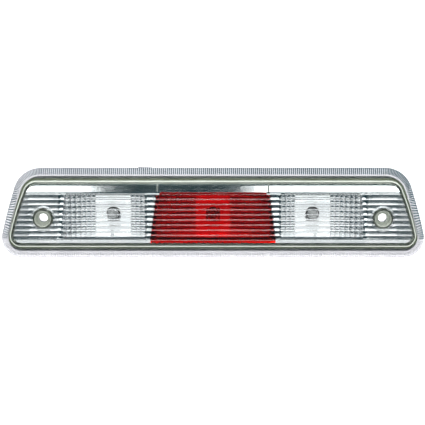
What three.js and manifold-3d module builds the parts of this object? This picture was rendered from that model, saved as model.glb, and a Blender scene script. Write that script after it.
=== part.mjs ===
// A third brake light for the rear of a pickup cab: a red stop lamp in the middle, a clear cargo lamp on
// each side of it, and a screw well at each end.  Millimetres.  X runs to the right, Z up, and the lens
// faces -Y.  Y = 0 is the cab panel that the gasket presses on, and the sockets stand behind it at +Y.
import * as THREE from 'three';
import { mergeVertices } from 'three/addons/utils/BufferGeometryUtils.js';
import Module from 'manifold-3d';

const wasm = await Module();
wasm.setup();

// ---- Driving dimensions ----------------------------------------------------------------------------
const GAP = 0.3; // clearance kept between pieces that touch

// The two outlines of the lens: six-sided, wider at the bottom, with rounded corners.
// sideRadius is the long soft bend half-way up each end.
const RIM = {
  midHalfWidth: 191.2, halfHeight: 42.4, upperSlant: 0.305, lowerSlant: 0.235,
  topRadius: 27, bottomRadius: 19, sideRadius: 400,
};
const FACE = {
  midHalfWidth: 182.8, halfHeight: 30.7, upperSlant: 0.38, lowerSlant: 0.235,
  topRadius: 12.5, bottomRadius: 10, sideRadius: 220,
};
const ARC_STEP = 12; // degrees of corner per facet

// Depths, front to back.
const FACE_FRONT = -15.5;
const RIM_CREST = -11;
const PLATE_FRONT = -6.8;
const PLATE_BACK = -4.3;
const GASKET_FRONT = -4;
const CAB_PANEL = 0;
const FLOOR_FRONT = 19.8;
const FLOOR_BACK = 22;
const COLLAR_BACK = 26;

const LENS_WALL = 2.6;
const FACE_WALL = 2.4;
const RIM_ROUNDING = { across: 7.5, deep: 5.6 };
const FACE_ROUNDING = { across: 1.2, deep: 1.2 };
const GROOVE_WIDTH = 1.5;
const GROOVE_BOTTOM = -9.5;

// Screw wells.
const WELL_X = 156.7;
const WELL_Z = -4.5;
const WELL_RADIUS = 7;
const WELL_WALL = 2;
const WELL_FLOOR = -9.3;
const SCREW_HOLE_RADIUS = 4;
const STANDOFF_RADIUS = 7.4;
const HOLE_SEAL_RADIUS = 11.4;
const STANDOFF_BACK = -1;

// Foam gasket, measured inwards from the rim's outline.
const GASKET_INSET = 1.2;
const GASKET_WIDTH = 8.6;

// Rear tray, which passes through the opening in the cab.
const TRAY = { halfWidth: 142.6, bottom: -26, top: 21.9, cornerRadius: 3 };
const TRAY_WALL = 2.2;
const RIB = { places: [24, 72, 120], halfWidth: 0.8, proud: 1.6, back: 14 };

// Lamps: the socket centres lie on one line.
const LAMP_Z = -2.85;
const CARGO_X = 93;
const BOWL_HALF_HEIGHT = 22.7;
const BOWL_WALL = 1.6;
const BOWL_FRONT = -9.1;
const BOWL_APEX = 13;
const BULB_HOLE_RADIUS = 6.3;
// Left and right edges of each reflector bowl, measured from its lamp's centre.
const BRAKE_BOWL = { left: -55.5, right: 55.5 };
const LEFT_CARGO_BOWL = { left: -49, right: 33 };
const RIGHT_CARGO_BOWL = { left: -33, right: 49 };

// Chromed bezel and red filter.
const BEZEL_FRONT = -10.9;
const BEZEL_BACK = -9.4;
const BEZEL_SKIRT = 1.5;
const BOSS_RADIUS = 11.2;
const BOSS_FRONT = -12.4;
const FLUTE = { pitch: 4.75, halfHeight: 1.1, proud: 0.8, innerEnd: 144, outerEnd: 170 };
const WINDOW_TOP = 18.6;
const WINDOW_BOTTOM = -24.3;
const BRAKE_WINDOW = { top: 49, bottom: 53.8 };
const CARGO_WINDOW = { inner: 61.7, outerTop: 136, outerBottom: 140.4 };
const FILTER = { top: 51.9, bottom: 58.1, low: -27.4, high: 19.8, chamfer: 4 };
const FILTER_FRONT = -12.8;
const FILTER_BACK = -11.2;
const FILTER_CLEARANCE = 0.5;
const FILTER_SKIRT = 1.6;

// Twist-lock sockets and wedge bulbs.
const BARREL_RADIUS = 9.4;
const HOLE_RADIUS = 9.7;
const COLLAR_RADIUS = 13.2;
const BARREL_FRONT = 17.2;
const LUG_COUNT = 3;
const LUG = { reach: 11.6, width: 3.4, front: 17.2, back: 19.5 };
const NOTCH = { reach: 12, width: 4.2 };
const UNLOCK_ANGLE = 45; // degrees of turn between locked and free
const FLANGE = { radius: 14, front: 28.7, back: 31 };
const GRIP = { halfWidth: 11, halfHeight: 4.5, back: 38 };
const SLOT = { halfWidth: 6.5, halfHeight: 3.2, back: 29 };
const WIRE_SEAL = { radius: 3.6, front: 34.5, outletWall: 2.2 };
const WIRE_SPACING = 3.4;
const WIRE_RADIUS = 0.9;
const SEAL_RING = { radius: 11.4, thickness: 1.1 };
const BULB = { radius: 5.1, glass: 0.7, tip: -1, shoulder: 12.5, base: 16.8, neck: 4.6 };
const WEDGE = { halfWidth: 4.4, halfHeight: 1.1, front: 15.6, back: 27 };
const LEAD = { spacing: 3.2, radius: 0.3, clearRadius: 0.65 };
const FILAMENT = { y: 5.5, radius: 0.45, length: 3.6 };
const CONTACT = {
  width: 3, thickness: 0.5, offset: 3.2,
  alongWall: 2.8, bowedIn: 1.95, // distance of its outer face from the wedge's middle
  front: 18.2, bowStart: 20.5, bowEnd: 24, foot: 26.5, back: 28.6,
};

// Vents.
const VENT_X = 52;
const VENT_Z = 12;
const VENT = { pipeRadius: 3.2, boreRadius: 1.6, back: 27 };
const VENT_CAP = { radius: 4.6, bevel: 1, top: 28.4 };

// ---- Materials -------------------------------------------------------------------------------------
const finish = (color, roughness, metalness) => () =>
  new THREE.MeshStandardMaterial({ color, roughness, metalness });
const clearPlastic = finish(0xe6ecea, 0.06, 0);
const redPlastic = finish(0xc01208, 0.08, 0);
const chromePlating = finish(0xe4e7ea, 0.06, 1);
const greyPlastic = finish(0xb9bcbd, 0.45, 0);
const socketPlastic = finish(0xd3d2cb, 0.5, 0);
const foam = finish(0x3c3f42, 0.95, 0);
const rubber = finish(0x6a6d70, 0.8, 0);
const glass = finish(0xf2f5f5, 0.03, 0);
const tungsten = finish(0x8d8f92, 0.35, 1);
const brass = finish(0xc9a35a, 0.3, 1);

// ---- Shape helpers ---------------------------------------------------------------------------------
// A closed outline through the corner points, which run anticlockwise, each rounded by its own radius.
function roundedOutline(points, radii) {
  const shape = new THREE.Shape();
  points.forEach((point, i) => {
    const before = points[(i + points.length - 1) % points.length];
    const after = points[(i + 1) % points.length];
    const toBefore = before.clone().sub(point).normalize();
    const toAfter = after.clone().sub(point).normalize();
    const halfAngle = Math.acos(toBefore.dot(toAfter)) / 2;
    const bisector = toBefore.clone().add(toAfter).normalize();
    const centre = point.clone().addScaledVector(bisector, radii[i] / Math.sin(halfAngle));
    const reach = radii[i] / Math.tan(halfAngle);
    const start = point.clone().addScaledVector(toBefore, reach).sub(centre);
    const end = point.clone().addScaledVector(toAfter, reach).sub(centre);
    const sweep = Math.PI - 2 * halfAngle;
    const steps = Math.max(2, Math.ceil(THREE.MathUtils.radToDeg(sweep) / ARC_STEP));
    for (let s = 0; s <= steps; s++) {
      const spoke = start.clone().rotateAround(new THREE.Vector2(), (sweep * s) / steps);
      const at = centre.clone().add(s === steps ? end : spoke);
      if (i === 0 && s === 0) shape.moveTo(at.x, at.y);
      else shape.lineTo(at.x, at.y);
    }
  });
  return shape;
}

// The outline of the rim or of the raised face, moved inwards by `inset` (outwards when negative).
function lampOutline(form, inset = 0) {
  const height = form.halfHeight - inset;
  const top = form.midHalfWidth - inset * Math.hypot(1, form.upperSlant) - form.upperSlant * height;
  const bottom = form.midHalfWidth - inset * Math.hypot(1, form.lowerSlant) + form.lowerSlant * height;
  const middle = form.midHalfWidth - inset;
  const corners = [[bottom, -height], [middle, 0], [top, height],
    [-top, height], [-middle, 0], [-bottom, -height]];
  const topRadius = form.topRadius - inset;
  const bottomRadius = form.bottomRadius - inset;
  const side = form.sideRadius;
  const radii = [bottomRadius, side, topRadius, topRadius, side, bottomRadius];
  return roundedOutline(corners.map(([x, z]) => new THREE.Vector2(x, z)), radii);
}

function polygon(corners) {
  return new THREE.Shape(corners.map(([x, z]) => new THREE.Vector2(x, z)));
}

// A closed three.js geometry as a solid that can be joined and cut.
function solid(geometry) {
  const bare = geometry.index ? geometry.toNonIndexed() : geometry.clone();
  bare.deleteAttribute('normal');
  bare.deleteAttribute('uv');
  const merged = mergeVertices(bare, 1e-4);
  const vertProperties = new Float32Array(merged.attributes.position.array);
  const triVerts = new Uint32Array(merged.index.array);
  return new wasm.Manifold(new wasm.Mesh({ numProp: 3, vertProperties, triVerts }));
}

function join(first, ...others) {
  return others.reduce((sum, other) => sum.add(other), first);
}

function cut(first, ...others) {
  return others.reduce((rest, other) => rest.subtract(other), first);
}

// A plate whose outline lies in X and Z, between two depths.
function plate(outline, front, back) {
  const geometry = new THREE.ExtrudeGeometry(outline, { depth: back - front, bevelEnabled: false });
  return solid(geometry.rotateX(Math.PI / 2).translate(0, back, 0));
}

// The same, with its front edge rounded over: `across` in the outline's plane and `deep` along Y.
function roundedPlate(outline, front, back, rounding) {
  const geometry = new THREE.ExtrudeGeometry(outline, {
    depth: back - front,
    bevelThickness: rounding.deep,
    bevelSize: rounding.across,
    bevelOffset: -rounding.across,
    bevelSegments: 3,
  });
  geometry.rotateX(Math.PI / 2).translate(0, back + rounding.deep, 0);
  const behind = box([-300, 300], [back, back + 60], [-100, 100]);
  return cut(solid(geometry), behind);
}

function box([x0, x1], [y0, y1], [z0, z1]) {
  const geometry = new THREE.BoxGeometry(x1 - x0, y1 - y0, z1 - z0);
  return solid(geometry.translate((x0 + x1) / 2, (y0 + y1) / 2, (z0 + z1) / 2));
}

// A round bar along Y.
function rod(radius, front, back, x = 0, z = 0, sides = 24) {
  const geometry = new THREE.CylinderGeometry(radius, radius, back - front, sides);
  return solid(geometry.translate(x, (front + back) / 2, z));
}

function tube(outer, inner, front, back, x = 0, z = 0, sides = 24) {
  return cut(rod(outer, front, back, x, z, sides), rod(inner, front - 1, back + 1, x, z, sides));
}

// A turned solid about Y.  The profile runs from front to back as [radius, y] and meets the axis.
function turned(profile, sides = 24) {
  return solid(new THREE.LatheGeometry(profile.map(([r, y]) => new THREE.Vector2(r, y)), sides));
}

const group = new THREE.Group();

// Puts a solid into the lamp as a named mesh, moved to x, z.
function addPiece(name, body, material, x = 0, z = 0) {
  const { vertProperties, triVerts } = body.getMesh();
  const geometry = new THREE.BufferGeometry();
  geometry.setAttribute('position', new THREE.BufferAttribute(vertProperties, 3));
  geometry.setIndex(new THREE.BufferAttribute(triVerts, 1));
  geometry.computeVertexNormals();
  const mesh = new THREE.Mesh(geometry, material());
  mesh.name = name;
  mesh.position.set(x, 0, z);
  group.add(mesh);
}

// ---- Lens ------------------------------------------------------------------------------------------
// One clear moulding: a rounded rim, a raised face, a groove between them, and two tubular screw wells.
function outerLens() {
  const rim = roundedPlate(lampOutline(RIM), RIM_CREST, PLATE_BACK, RIM_ROUNDING);
  const face = roundedPlate(lampOutline(FACE), FACE_FRONT, PLATE_BACK, FACE_ROUNDING);
  const groove = cut(
    plate(lampOutline(FACE, -GROOVE_WIDTH), FACE_FRONT - 1, GROOVE_BOTTOM),
    plate(lampOutline(FACE), FACE_FRONT - 2, GROOVE_BOTTOM + 1),
  );
  const underFace = plate(lampOutline(FACE, LENS_WALL), FACE_FRONT + FACE_WALL, PLATE_BACK + 1);
  const rimHollow = roundedPlate(lampOutline(RIM, LENS_WALL), RIM_CREST + LENS_WALL, PLATE_BACK + 1, {
    across: RIM_ROUNDING.across - 1,
    deep: RIM_ROUNDING.deep - 2,
  });
  const leg = plate(lampOutline(FACE, -GROOVE_WIDTH), FACE_FRONT, PLATE_BACK + 2);
  const plateRoom = plate(lampOutline(RIM, LENS_WALL), PLATE_FRONT - GAP, PLATE_BACK + 1);
  let lens = cut(join(rim, face), groove, underFace, cut(rimHollow, leg), plateRoom);
  for (const side of [-1, 1]) {
    const x = side * WELL_X;
    lens = join(lens, rod(WELL_RADIUS + WELL_WALL, FACE_FRONT + 1, PLATE_FRONT - GAP, x, WELL_Z));
    lens = cut(lens, rod(WELL_RADIUS, FACE_FRONT - 1, WELL_FLOOR, x, WELL_Z));
    lens = cut(lens, rod(SCREW_HOLE_RADIUS, WELL_FLOOR - 1, PLATE_BACK, x, WELL_Z));
  }
  return lens;
}

// ---- Housing ---------------------------------------------------------------------------------------
function trayOutline(grow) {
  const right = TRAY.halfWidth + grow;
  const low = TRAY.bottom - grow;
  const high = TRAY.top + grow;
  const corners = [[right, low], [right, high], [-right, high], [-right, low]];
  const radius = TRAY.cornerRadius + grow;
  return roundedOutline(corners.map(([x, z]) => new THREE.Vector2(x, z)), corners.map(() => radius));
}

// The socket hole, with a notch for each of the socket's lugs, turned away from where the lugs lock.
function socketHole(x) {
  const notches = [];
  for (let i = 0; i < LUG_COUNT; i++) {
    const angle = THREE.MathUtils.degToRad((360 / LUG_COUNT) * i + UNLOCK_ANGLE);
    const notch = new THREE.BoxGeometry(NOTCH.width, COLLAR_BACK - FLOOR_FRONT + 2, NOTCH.reach);
    notch.translate(0, (COLLAR_BACK + FLOOR_FRONT) / 2, NOTCH.reach / 2).rotateY(angle);
    notches.push(solid(notch.translate(x, 0, LAMP_Z)));
  }
  return join(rod(HOLE_RADIUS, FLOOR_FRONT - 1, COLLAR_BACK + 1, x, LAMP_Z), ...notches);
}

// Base plate, deep tray, three socket collars, two vent pipes, two screw standoffs and the tray's outer ribs.
function housing() {
  const base = plate(lampOutline(RIM, LENS_WALL + GAP), PLATE_FRONT, PLATE_BACK);
  const tray = plate(trayOutline(TRAY_WALL), PLATE_BACK - 0.5, FLOOR_BACK);
  let body = cut(join(base, tray), plate(trayOutline(0), PLATE_FRONT - 1, FLOOR_FRONT));
  for (const x of [-CARGO_X, 0, CARGO_X]) {
    body = join(body, rod(COLLAR_RADIUS, FLOOR_BACK - 0.5, COLLAR_BACK, x, LAMP_Z));
    body = cut(body, socketHole(x));
  }
  for (const side of [-1, 1]) {
    const ventX = side * VENT_X;
    body = join(body, rod(VENT.pipeRadius, FLOOR_BACK - 0.5, VENT.back, ventX, VENT_Z));
    body = cut(body, rod(VENT.boreRadius, FLOOR_FRONT - 1, VENT.back + 1, ventX, VENT_Z, 12));
    const wellX = side * WELL_X;
    body = join(body, rod(STANDOFF_RADIUS, PLATE_BACK - 0.5, STANDOFF_BACK, wellX, WELL_Z));
    body = cut(body, rod(SCREW_HOLE_RADIUS, PLATE_FRONT - 1, STANDOFF_BACK + 1, wellX, WELL_Z));
    for (const ribX of RIB.places) {
      const across = [side * ribX - RIB.halfWidth, side * ribX + RIB.halfWidth];
      const upAndDown = [TRAY.bottom - TRAY_WALL - RIB.proud, TRAY.top + TRAY_WALL + RIB.proud];
      body = join(body, box(across, [PLATE_BACK - 0.5, RIB.back], upAndDown));
    }
  }
  return cut(body, plate(trayOutline(0), PLATE_FRONT - 1, FLOOR_FRONT));
}

function ventCap() {
  const { radius, bevel, top } = VENT_CAP;
  const foot = FLOOR_BACK + GAP;
  const shell = turned([[0, foot], [radius, foot], [radius, top - bevel], [radius - bevel, top], [0, top]]);
  const bore = rod(VENT.pipeRadius + GAP, FLOOR_BACK, VENT.back + GAP);
  const breather = box([-0.8, 0.8], [VENT.back - 1, top + 1], [-radius - 1, radius + 1]);
  return cut(shell, bore, breather);
}

// ---- Seals -----------------------------------------------------------------------------------------
function perimeterGasket() {
  const outer = plate(lampOutline(RIM, GASKET_INSET), GASKET_FRONT, CAB_PANEL);
  return cut(outer, plate(lampOutline(RIM, GASKET_INSET + GASKET_WIDTH), GASKET_FRONT - 1, CAB_PANEL + 1));
}

function screwHoleSeal() {
  return tube(HOLE_SEAL_RADIUS, STANDOFF_RADIUS + GAP, GASKET_FRONT, CAB_PANEL);
}

// ---- Chromed bezel and reflectors --------------------------------------------------------------------
function cargoWindow(side) {
  const corners = [[CARGO_WINDOW.inner, WINDOW_BOTTOM], [CARGO_WINDOW.outerBottom, WINDOW_BOTTOM],
    [CARGO_WINDOW.outerTop, WINDOW_TOP], [CARGO_WINDOW.inner, WINDOW_TOP]];
  return polygon(corners.map(([x, z]) => [side * x, z]));
}

function brakeWindow() {
  const { top, bottom } = BRAKE_WINDOW;
  return polygon([[-bottom, WINDOW_BOTTOM], [bottom, WINDOW_BOTTOM], [top, WINDOW_TOP], [-top, WINDOW_TOP]]);
}

// A frame behind the lens: plate, skirt, three windows, a boss round each screw well and fluted ends.
function reflectorBezel() {
  const outline = (inset) => lampOutline(FACE, LENS_WALL + GAP + inset);
  const front = plate(outline(0), BEZEL_FRONT, BEZEL_BACK);
  const skirt = cut(
    plate(outline(0), BEZEL_FRONT, PLATE_FRONT - GAP),
    plate(outline(BEZEL_SKIRT), BEZEL_FRONT - 1, PLATE_FRONT + 1),
  );
  let bezel = join(front, skirt);
  for (const window of [brakeWindow(), cargoWindow(-1), cargoWindow(1)]) {
    bezel = cut(bezel, plate(window, BEZEL_FRONT - 1, BEZEL_BACK + 1));
  }
  for (const side of [-1, 1]) {
    const x = side * WELL_X;
    const ends = side > 0 ? [FLUTE.innerEnd, FLUTE.outerEnd] : [-FLUTE.outerEnd, -FLUTE.innerEnd];
    for (let z = WINDOW_BOTTOM + FLUTE.pitch / 2; z < WINDOW_TOP; z += FLUTE.pitch) {
      const depths = [BEZEL_FRONT - FLUTE.proud, BEZEL_BACK];
      bezel = join(bezel, box(ends, depths, [z - FLUTE.halfHeight, z + FLUTE.halfHeight]));
    }
    bezel = join(bezel, rod(BOSS_RADIUS, BOSS_FRONT, PLATE_FRONT - GAP, x, WELL_Z));
    bezel = cut(bezel, rod(WELL_RADIUS + WELL_WALL + GAP, BOSS_FRONT - 1, PLATE_FRONT, x, WELL_Z));
  }
  return bezel;
}

// A trough that is a parabola in plan about the bulb, closed above and below, with a hole for the bulb.
function reflectorBowl(bowl) {
  const facets = 24;
  const trough = (left, right, front, apex, halfHeight) => {
    const reach = Math.max(-left, right);
    const points = [new THREE.Vector2(left, front)];
    for (let i = 0; i <= facets; i++) {
      const x = left + ((right - left) * i) / facets;
      const back = apex + (BOWL_FRONT + 1 - apex) * (x / reach) ** 2;
      points.push(new THREE.Vector2(x, back));
    }
    points.push(new THREE.Vector2(right, front));
    const inPlan = new THREE.Shape(points);
    const geometry = new THREE.ExtrudeGeometry(inPlan, { depth: 2 * halfHeight, bevelEnabled: false });
    return solid(geometry.translate(0, 0, -halfHeight));
  };
  const outer = trough(bowl.left, bowl.right, BOWL_FRONT, BOWL_APEX + BOWL_WALL, BOWL_HALF_HEIGHT);
  const inner = trough(bowl.left + BOWL_WALL, bowl.right - BOWL_WALL, BOWL_FRONT - 2, BOWL_APEX,
    BOWL_HALF_HEIGHT - BOWL_WALL);
  return cut(outer, inner, rod(BULB_HOLE_RADIUS, 0, BOWL_APEX + 5));
}

// The red inner lens that stands in front of the brake window, with a skirt that locates in it.
function brakeFilter() {
  const { top, bottom, low, high, chamfer } = FILTER;
  const shoulder = top + ((bottom - top) * chamfer) / (high - low);
  const outline = polygon([[-bottom, low], [bottom, low], [shoulder, high - chamfer], [top - chamfer, high],
    [chamfer - top, high], [-shoulder, high - chamfer]]);
  const skirt = (inset) => {
    const foot = BRAKE_WINDOW.bottom - inset;
    const head = BRAKE_WINDOW.top - inset;
    const sill = WINDOW_BOTTOM + inset;
    const lintel = WINDOW_TOP - inset;
    return polygon([[-foot, sill], [foot, sill], [head, lintel], [-head, lintel]]);
  };
  const locator = plate(skirt(FILTER_CLEARANCE), FILTER_BACK - 1, BEZEL_BACK);
  const hollow = plate(skirt(FILTER_CLEARANCE + FILTER_SKIRT), FILTER_BACK, BEZEL_BACK + 1);
  return join(plate(outline, FILTER_FRONT, FILTER_BACK), cut(locator, hollow));
}

// ---- Sockets and bulbs, each about its own Y axis ----------------------------------------------------
function socketBody() {
  const lugs = [];
  for (let i = 0; i < LUG_COUNT; i++) {
    const lug = new THREE.BoxGeometry(LUG.width, LUG.back - LUG.front, LUG.reach);
    lug.translate(0, (LUG.front + LUG.back) / 2, LUG.reach / 2);
    lugs.push(solid(lug.rotateY(THREE.MathUtils.degToRad((360 / LUG_COUNT) * i))));
  }
  const barrel = rod(BARREL_RADIUS, BARREL_FRONT, FLANGE.back);
  const flange = rod(FLANGE.radius, FLANGE.front, FLANGE.back);
  const { halfWidth, halfHeight, back } = GRIP;
  const grip = box([-halfWidth, halfWidth], [FLANGE.back - 0.5, back], [-halfHeight, halfHeight]);
  const outlet = rod(WIRE_SEAL.radius + WIRE_SEAL.outletWall, FLANGE.back - 0.5, back);
  const slotSides = [-SLOT.halfWidth, SLOT.halfWidth];
  const slot = box(slotSides, [BARREL_FRONT - 1, SLOT.back], [-SLOT.halfHeight, SLOT.halfHeight]);
  const recess = rod(WIRE_SEAL.radius + GAP, WIRE_SEAL.front, back + 1);
  const passages = [-1, 1].map((side) =>
    rod(WIRE_RADIUS, SLOT.back - 1, WIRE_SEAL.front + 1, (side * WIRE_SPACING) / 2, 0, 10));
  return cut(join(barrel, flange, grip, outlet, ...lugs), slot, recess, ...passages);
}

function socketSeal() {
  const ring = new THREE.TorusGeometry(SEAL_RING.radius, SEAL_RING.thickness, 8, 24);
  return solid(ring.rotateX(Math.PI / 2).translate(0, (COLLAR_BACK + FLANGE.front) / 2, 0));
}

function wireSeal() {
  const plug = rod(WIRE_SEAL.radius, WIRE_SEAL.front + GAP, GRIP.back + 0.8);
  const wires = [-1, 1].map((side) =>
    rod(WIRE_RADIUS, WIRE_SEAL.front - 1, GRIP.back + 2, (side * WIRE_SPACING) / 2, 0, 10));
  return cut(plug, ...wires);
}

// A wedge bulb's glass: a blown envelope with a flat pinch that the two lead wires pass through.
function bulbGlass() {
  const profile = (inward) => {
    const radius = BULB.radius - inward;
    const points = [[0, BULB.tip + inward]];
    for (let angle = 22.5; angle <= 90; angle += 22.5) {
      const turn = THREE.MathUtils.degToRad(angle);
      points.push([radius * Math.sin(turn), BULB.tip + BULB.radius - radius * Math.cos(turn)]);
    }
    const neck = BULB.neck - inward;
    const base = BULB.base - inward;
    points.push([radius, BULB.shoulder], [neck, base - 1], [neck - 1, base], [0, base]);
    return points;
  };
  const { halfWidth, halfHeight, front, back } = WEDGE;
  const wedge = box([-halfWidth, halfWidth], [front, back], [-halfHeight, halfHeight]);
  const leadHoles = [-1, 1].map((side) =>
    rod(LEAD.clearRadius, BULB.shoulder, back + 1, (side * LEAD.spacing) / 2, 0, 6));
  return cut(join(turned(profile(0), 16), wedge), turned(profile(BULB.glass), 16), ...leadHoles);
}

// The two lead wires and the filament that they carry.
function bulbFilament() {
  const leads = [-1, 1].map((side) =>
    rod(LEAD.radius, FILAMENT.y, WEDGE.back + 0.6, (side * LEAD.spacing) / 2, 0, 6));
  const coil = new THREE.CylinderGeometry(FILAMENT.radius, FILAMENT.radius, FILAMENT.length, 8);
  return join(solid(coil.rotateZ(Math.PI / 2).translate(0, FILAMENT.y, 0)), ...leads);
}

// A brass spring clip along the slot's wall, bowed in towards the bulb's wedge.
function contactClip(side) {
  const { alongWall, bowedIn, front, bowStart, bowEnd, foot, back } = CONTACT;
  const wallLine = [[front, alongWall], [bowStart, bowedIn], [bowEnd, bowedIn], [foot, alongWall],
    [back, alongWall]];
  const wedgeLine = wallLine.map(([y, z]) => [y, z - CONTACT.thickness]).reverse();
  const profile = new THREE.Shape([...wallLine, ...wedgeLine].map(([y, z]) => new THREE.Vector2(y, z)));
  const strip = new THREE.ExtrudeGeometry(profile, { depth: CONTACT.width, bevelEnabled: false });
  const [alongX, alongY, alongZ] = [0, 1, 2].map((axis) => new THREE.Vector3().setComponent(axis, 1));
  strip.applyMatrix4(new THREE.Matrix4().makeBasis(alongY, alongZ, alongX));
  strip.translate(CONTACT.offset - CONTACT.width / 2, 0, 0);
  return solid(side > 0 ? strip : strip.rotateY(Math.PI));
}

// ---- Assembly --------------------------------------------------------------------------------------
addPiece('outer_lens', outerLens(), clearPlastic);
addPiece('housing', housing(), greyPlastic);
addPiece('perimeter_gasket', perimeterGasket(), foam);
addPiece('reflector_bezel', reflectorBezel(), chromePlating);
addPiece('brake_filter', brakeFilter(), redPlastic);
addPiece('brake_reflector', reflectorBowl(BRAKE_BOWL), chromePlating, 0, LAMP_Z);
addPiece('left_cargo_reflector', reflectorBowl(LEFT_CARGO_BOWL), chromePlating, -CARGO_X, LAMP_Z);
addPiece('right_cargo_reflector', reflectorBowl(RIGHT_CARGO_BOWL), chromePlating, CARGO_X, LAMP_Z);

for (const [side, label] of [[-1, 'left'], [1, 'right']]) {
  addPiece(`${label}_screw_hole_seal`, screwHoleSeal(), foam, side * WELL_X, WELL_Z);
  addPiece(`${label}_vent_cap`, ventCap(), rubber, side * VENT_X, VENT_Z);
}

for (const [lamp, x] of [['brake', 0], ['left_cargo', -CARGO_X], ['right_cargo', CARGO_X]]) {
  addPiece(`${lamp}_socket`, socketBody(), socketPlastic, x, LAMP_Z);
  addPiece(`${lamp}_socket_seal`, socketSeal(), rubber, x, LAMP_Z);
  addPiece(`${lamp}_wire_seal`, wireSeal(), rubber, x, LAMP_Z);
  addPiece(`${lamp}_bulb_glass`, bulbGlass(), glass, x, LAMP_Z);
  addPiece(`${lamp}_bulb_filament`, bulbFilament(), tungsten, x, LAMP_Z);
  addPiece(`${lamp}_contact_a`, contactClip(-1), brass, x, LAMP_Z);
  addPiece(`${lamp}_contact_b`, contactClip(1), brass, x, LAMP_Z);
}

export default group;
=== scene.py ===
# A third brake light for a pickup cab.  Pieces are shaped in millimetres and brought to metres when they
# are finished.  X runs to the right, Z up, and the lens faces -Y.
import bmesh
import bpy
import math
from mathutils import Matrix, Vector, noise


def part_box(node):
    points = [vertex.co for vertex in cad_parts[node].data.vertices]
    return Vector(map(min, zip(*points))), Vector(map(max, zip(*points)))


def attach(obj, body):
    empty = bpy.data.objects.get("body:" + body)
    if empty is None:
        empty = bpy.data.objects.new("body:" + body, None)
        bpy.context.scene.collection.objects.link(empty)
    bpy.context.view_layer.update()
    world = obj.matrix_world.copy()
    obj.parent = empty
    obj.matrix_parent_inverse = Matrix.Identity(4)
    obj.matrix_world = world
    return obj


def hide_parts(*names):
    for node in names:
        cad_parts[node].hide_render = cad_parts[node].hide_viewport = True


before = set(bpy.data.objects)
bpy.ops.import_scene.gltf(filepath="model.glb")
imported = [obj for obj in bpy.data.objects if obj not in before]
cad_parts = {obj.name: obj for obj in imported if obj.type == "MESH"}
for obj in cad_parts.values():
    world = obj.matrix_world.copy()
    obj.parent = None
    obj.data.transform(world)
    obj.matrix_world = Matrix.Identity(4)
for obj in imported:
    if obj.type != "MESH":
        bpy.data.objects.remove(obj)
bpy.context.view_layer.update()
scene = bpy.context.scene
MM = 0.001


def box_mm(node):
    low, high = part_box(node)
    return Vector(low) / MM, Vector(high) / MM


def centre_mm(node):
    low, high = box_mm(node)
    return (low + high) / 2


# ---- Where the frame puts things ------------------------------------------------------------------
LENS_LOW, LENS_HIGH = box_mm("outer_lens")
FILTER_LOW, FILTER_HIGH = box_mm("brake_filter")
WELL = {side: centre_mm(side + "_screw_hole_seal") for side in ("left", "right")}
LAMP = {lamp: centre_mm(lamp + "_socket_seal") for lamp in ("brake", "left_cargo", "right_cargo")}
VENT = {side: centre_mm(side + "_vent_cap") for side in ("left", "right")}

FACE_FRONT = LENS_LOW.y
PLATE_BACK = LENS_HIGH.y
RIM = dict(mid=191.2, half=LENS_HIGH.z, upper=0.305, lower=0.235, top=27, bottom=19, side=400)
FACE = dict(mid=182.8, half=30.7, upper=0.38, lower=0.235, top=12.5, bottom=10, side=220)
RIM_CREST = -11
RIM_ROUND = 7.5
RIM_DEEP = 5.6
RIB_DEPTH = 0.7
GROOVE_BOTTOM = -9.5
GROOVE_WIDTH = 1.8
FACE_BACK = -13.1
LEG_BACK = -7.1
BEZEL_FRONT = -10.9
BEZEL_BACK = -9.4
BOSS_RADIUS = 11.2
PANEL_START = 142.4
PANEL_END = 171
BAND_FOOT = 19.9
BAND_TOP = 26.3
BAND_JOINT = 51.2
FOOT_ROUND = -24.8
FLUTE_TOP = 18.4
FLUTE_PITCH = 4.8
FLUTE_COUNT = 9
FLUTE_DEPTH = 0.3
WINDOW_TOP = 18.6
WINDOW_BOTTOM = -24.3
BOWL_FRONT = -9.1
BOWL_APEX = 13
BULB_HOLE = 6.3
BULB_RADIUS = 5.1
BULB_TIP = -1
BULB_WALL = 0.7

PLATE_FRONT = -6.8
FLOOR_FRONT = 19.8
FLOOR_BACK = 22
COLLAR_BACK = 26
VENT_BACK = box_mm("housing")[1].y
TRAY = dict(half=142.6, low=-26, high=21.9, wall=2.2)
SCREW_HOLE = 4
FLANGE_BACK = 31
SOCKET_BACK = 38
WIRE_HOLES = (-1.7, 1.7)
WIRE_RADIUS = 0.9
SOCKET_FACE = 17.2
SLOT_FLOOR = 29
RECESS_FLOOR = 34.5
KEY_WIDTH = 4.6
KEY_REACH = 12
SOCKET_HOLE = 9.7


# ---- Rings and sheets -----------------------------------------------------------------------------
def once(items):
    """Each item once, in the order in which they first come, which is the same in each run."""
    return list(dict.fromkeys(items))


def arc_points(start, centre, angle, steps):
    """The points of a round corner, from its start to its end."""
    bm = bmesh.new()
    first = bm.verts.new(start)
    bmesh.ops.spin(bm, geom=[first], cent=centre, axis=(0, 1, 0), angle=angle, steps=steps,
                   use_merge=False, use_duplicate=False)
    bmesh.ops.remove_doubles(bm, verts=bm.verts, dist=1e-6)
    points = sorted((v.co.copy() for v in bm.verts), key=lambda co: (co - start).length)
    bm.free()
    return points


def run_points(start, end, cuts):
    """The points between the ends of a straight run, divided evenly."""
    if not cuts:
        return []
    bm = bmesh.new()
    line = bm.edges.new((bm.verts.new(start), bm.verts.new(end)))
    bmesh.ops.subdivide_edges(bm, edges=[line], cuts=cuts)
    points = sorted((v.co.copy() for v in bm.verts), key=lambda co: (co - start).length)
    bm.free()
    return points[1:-1]


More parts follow.
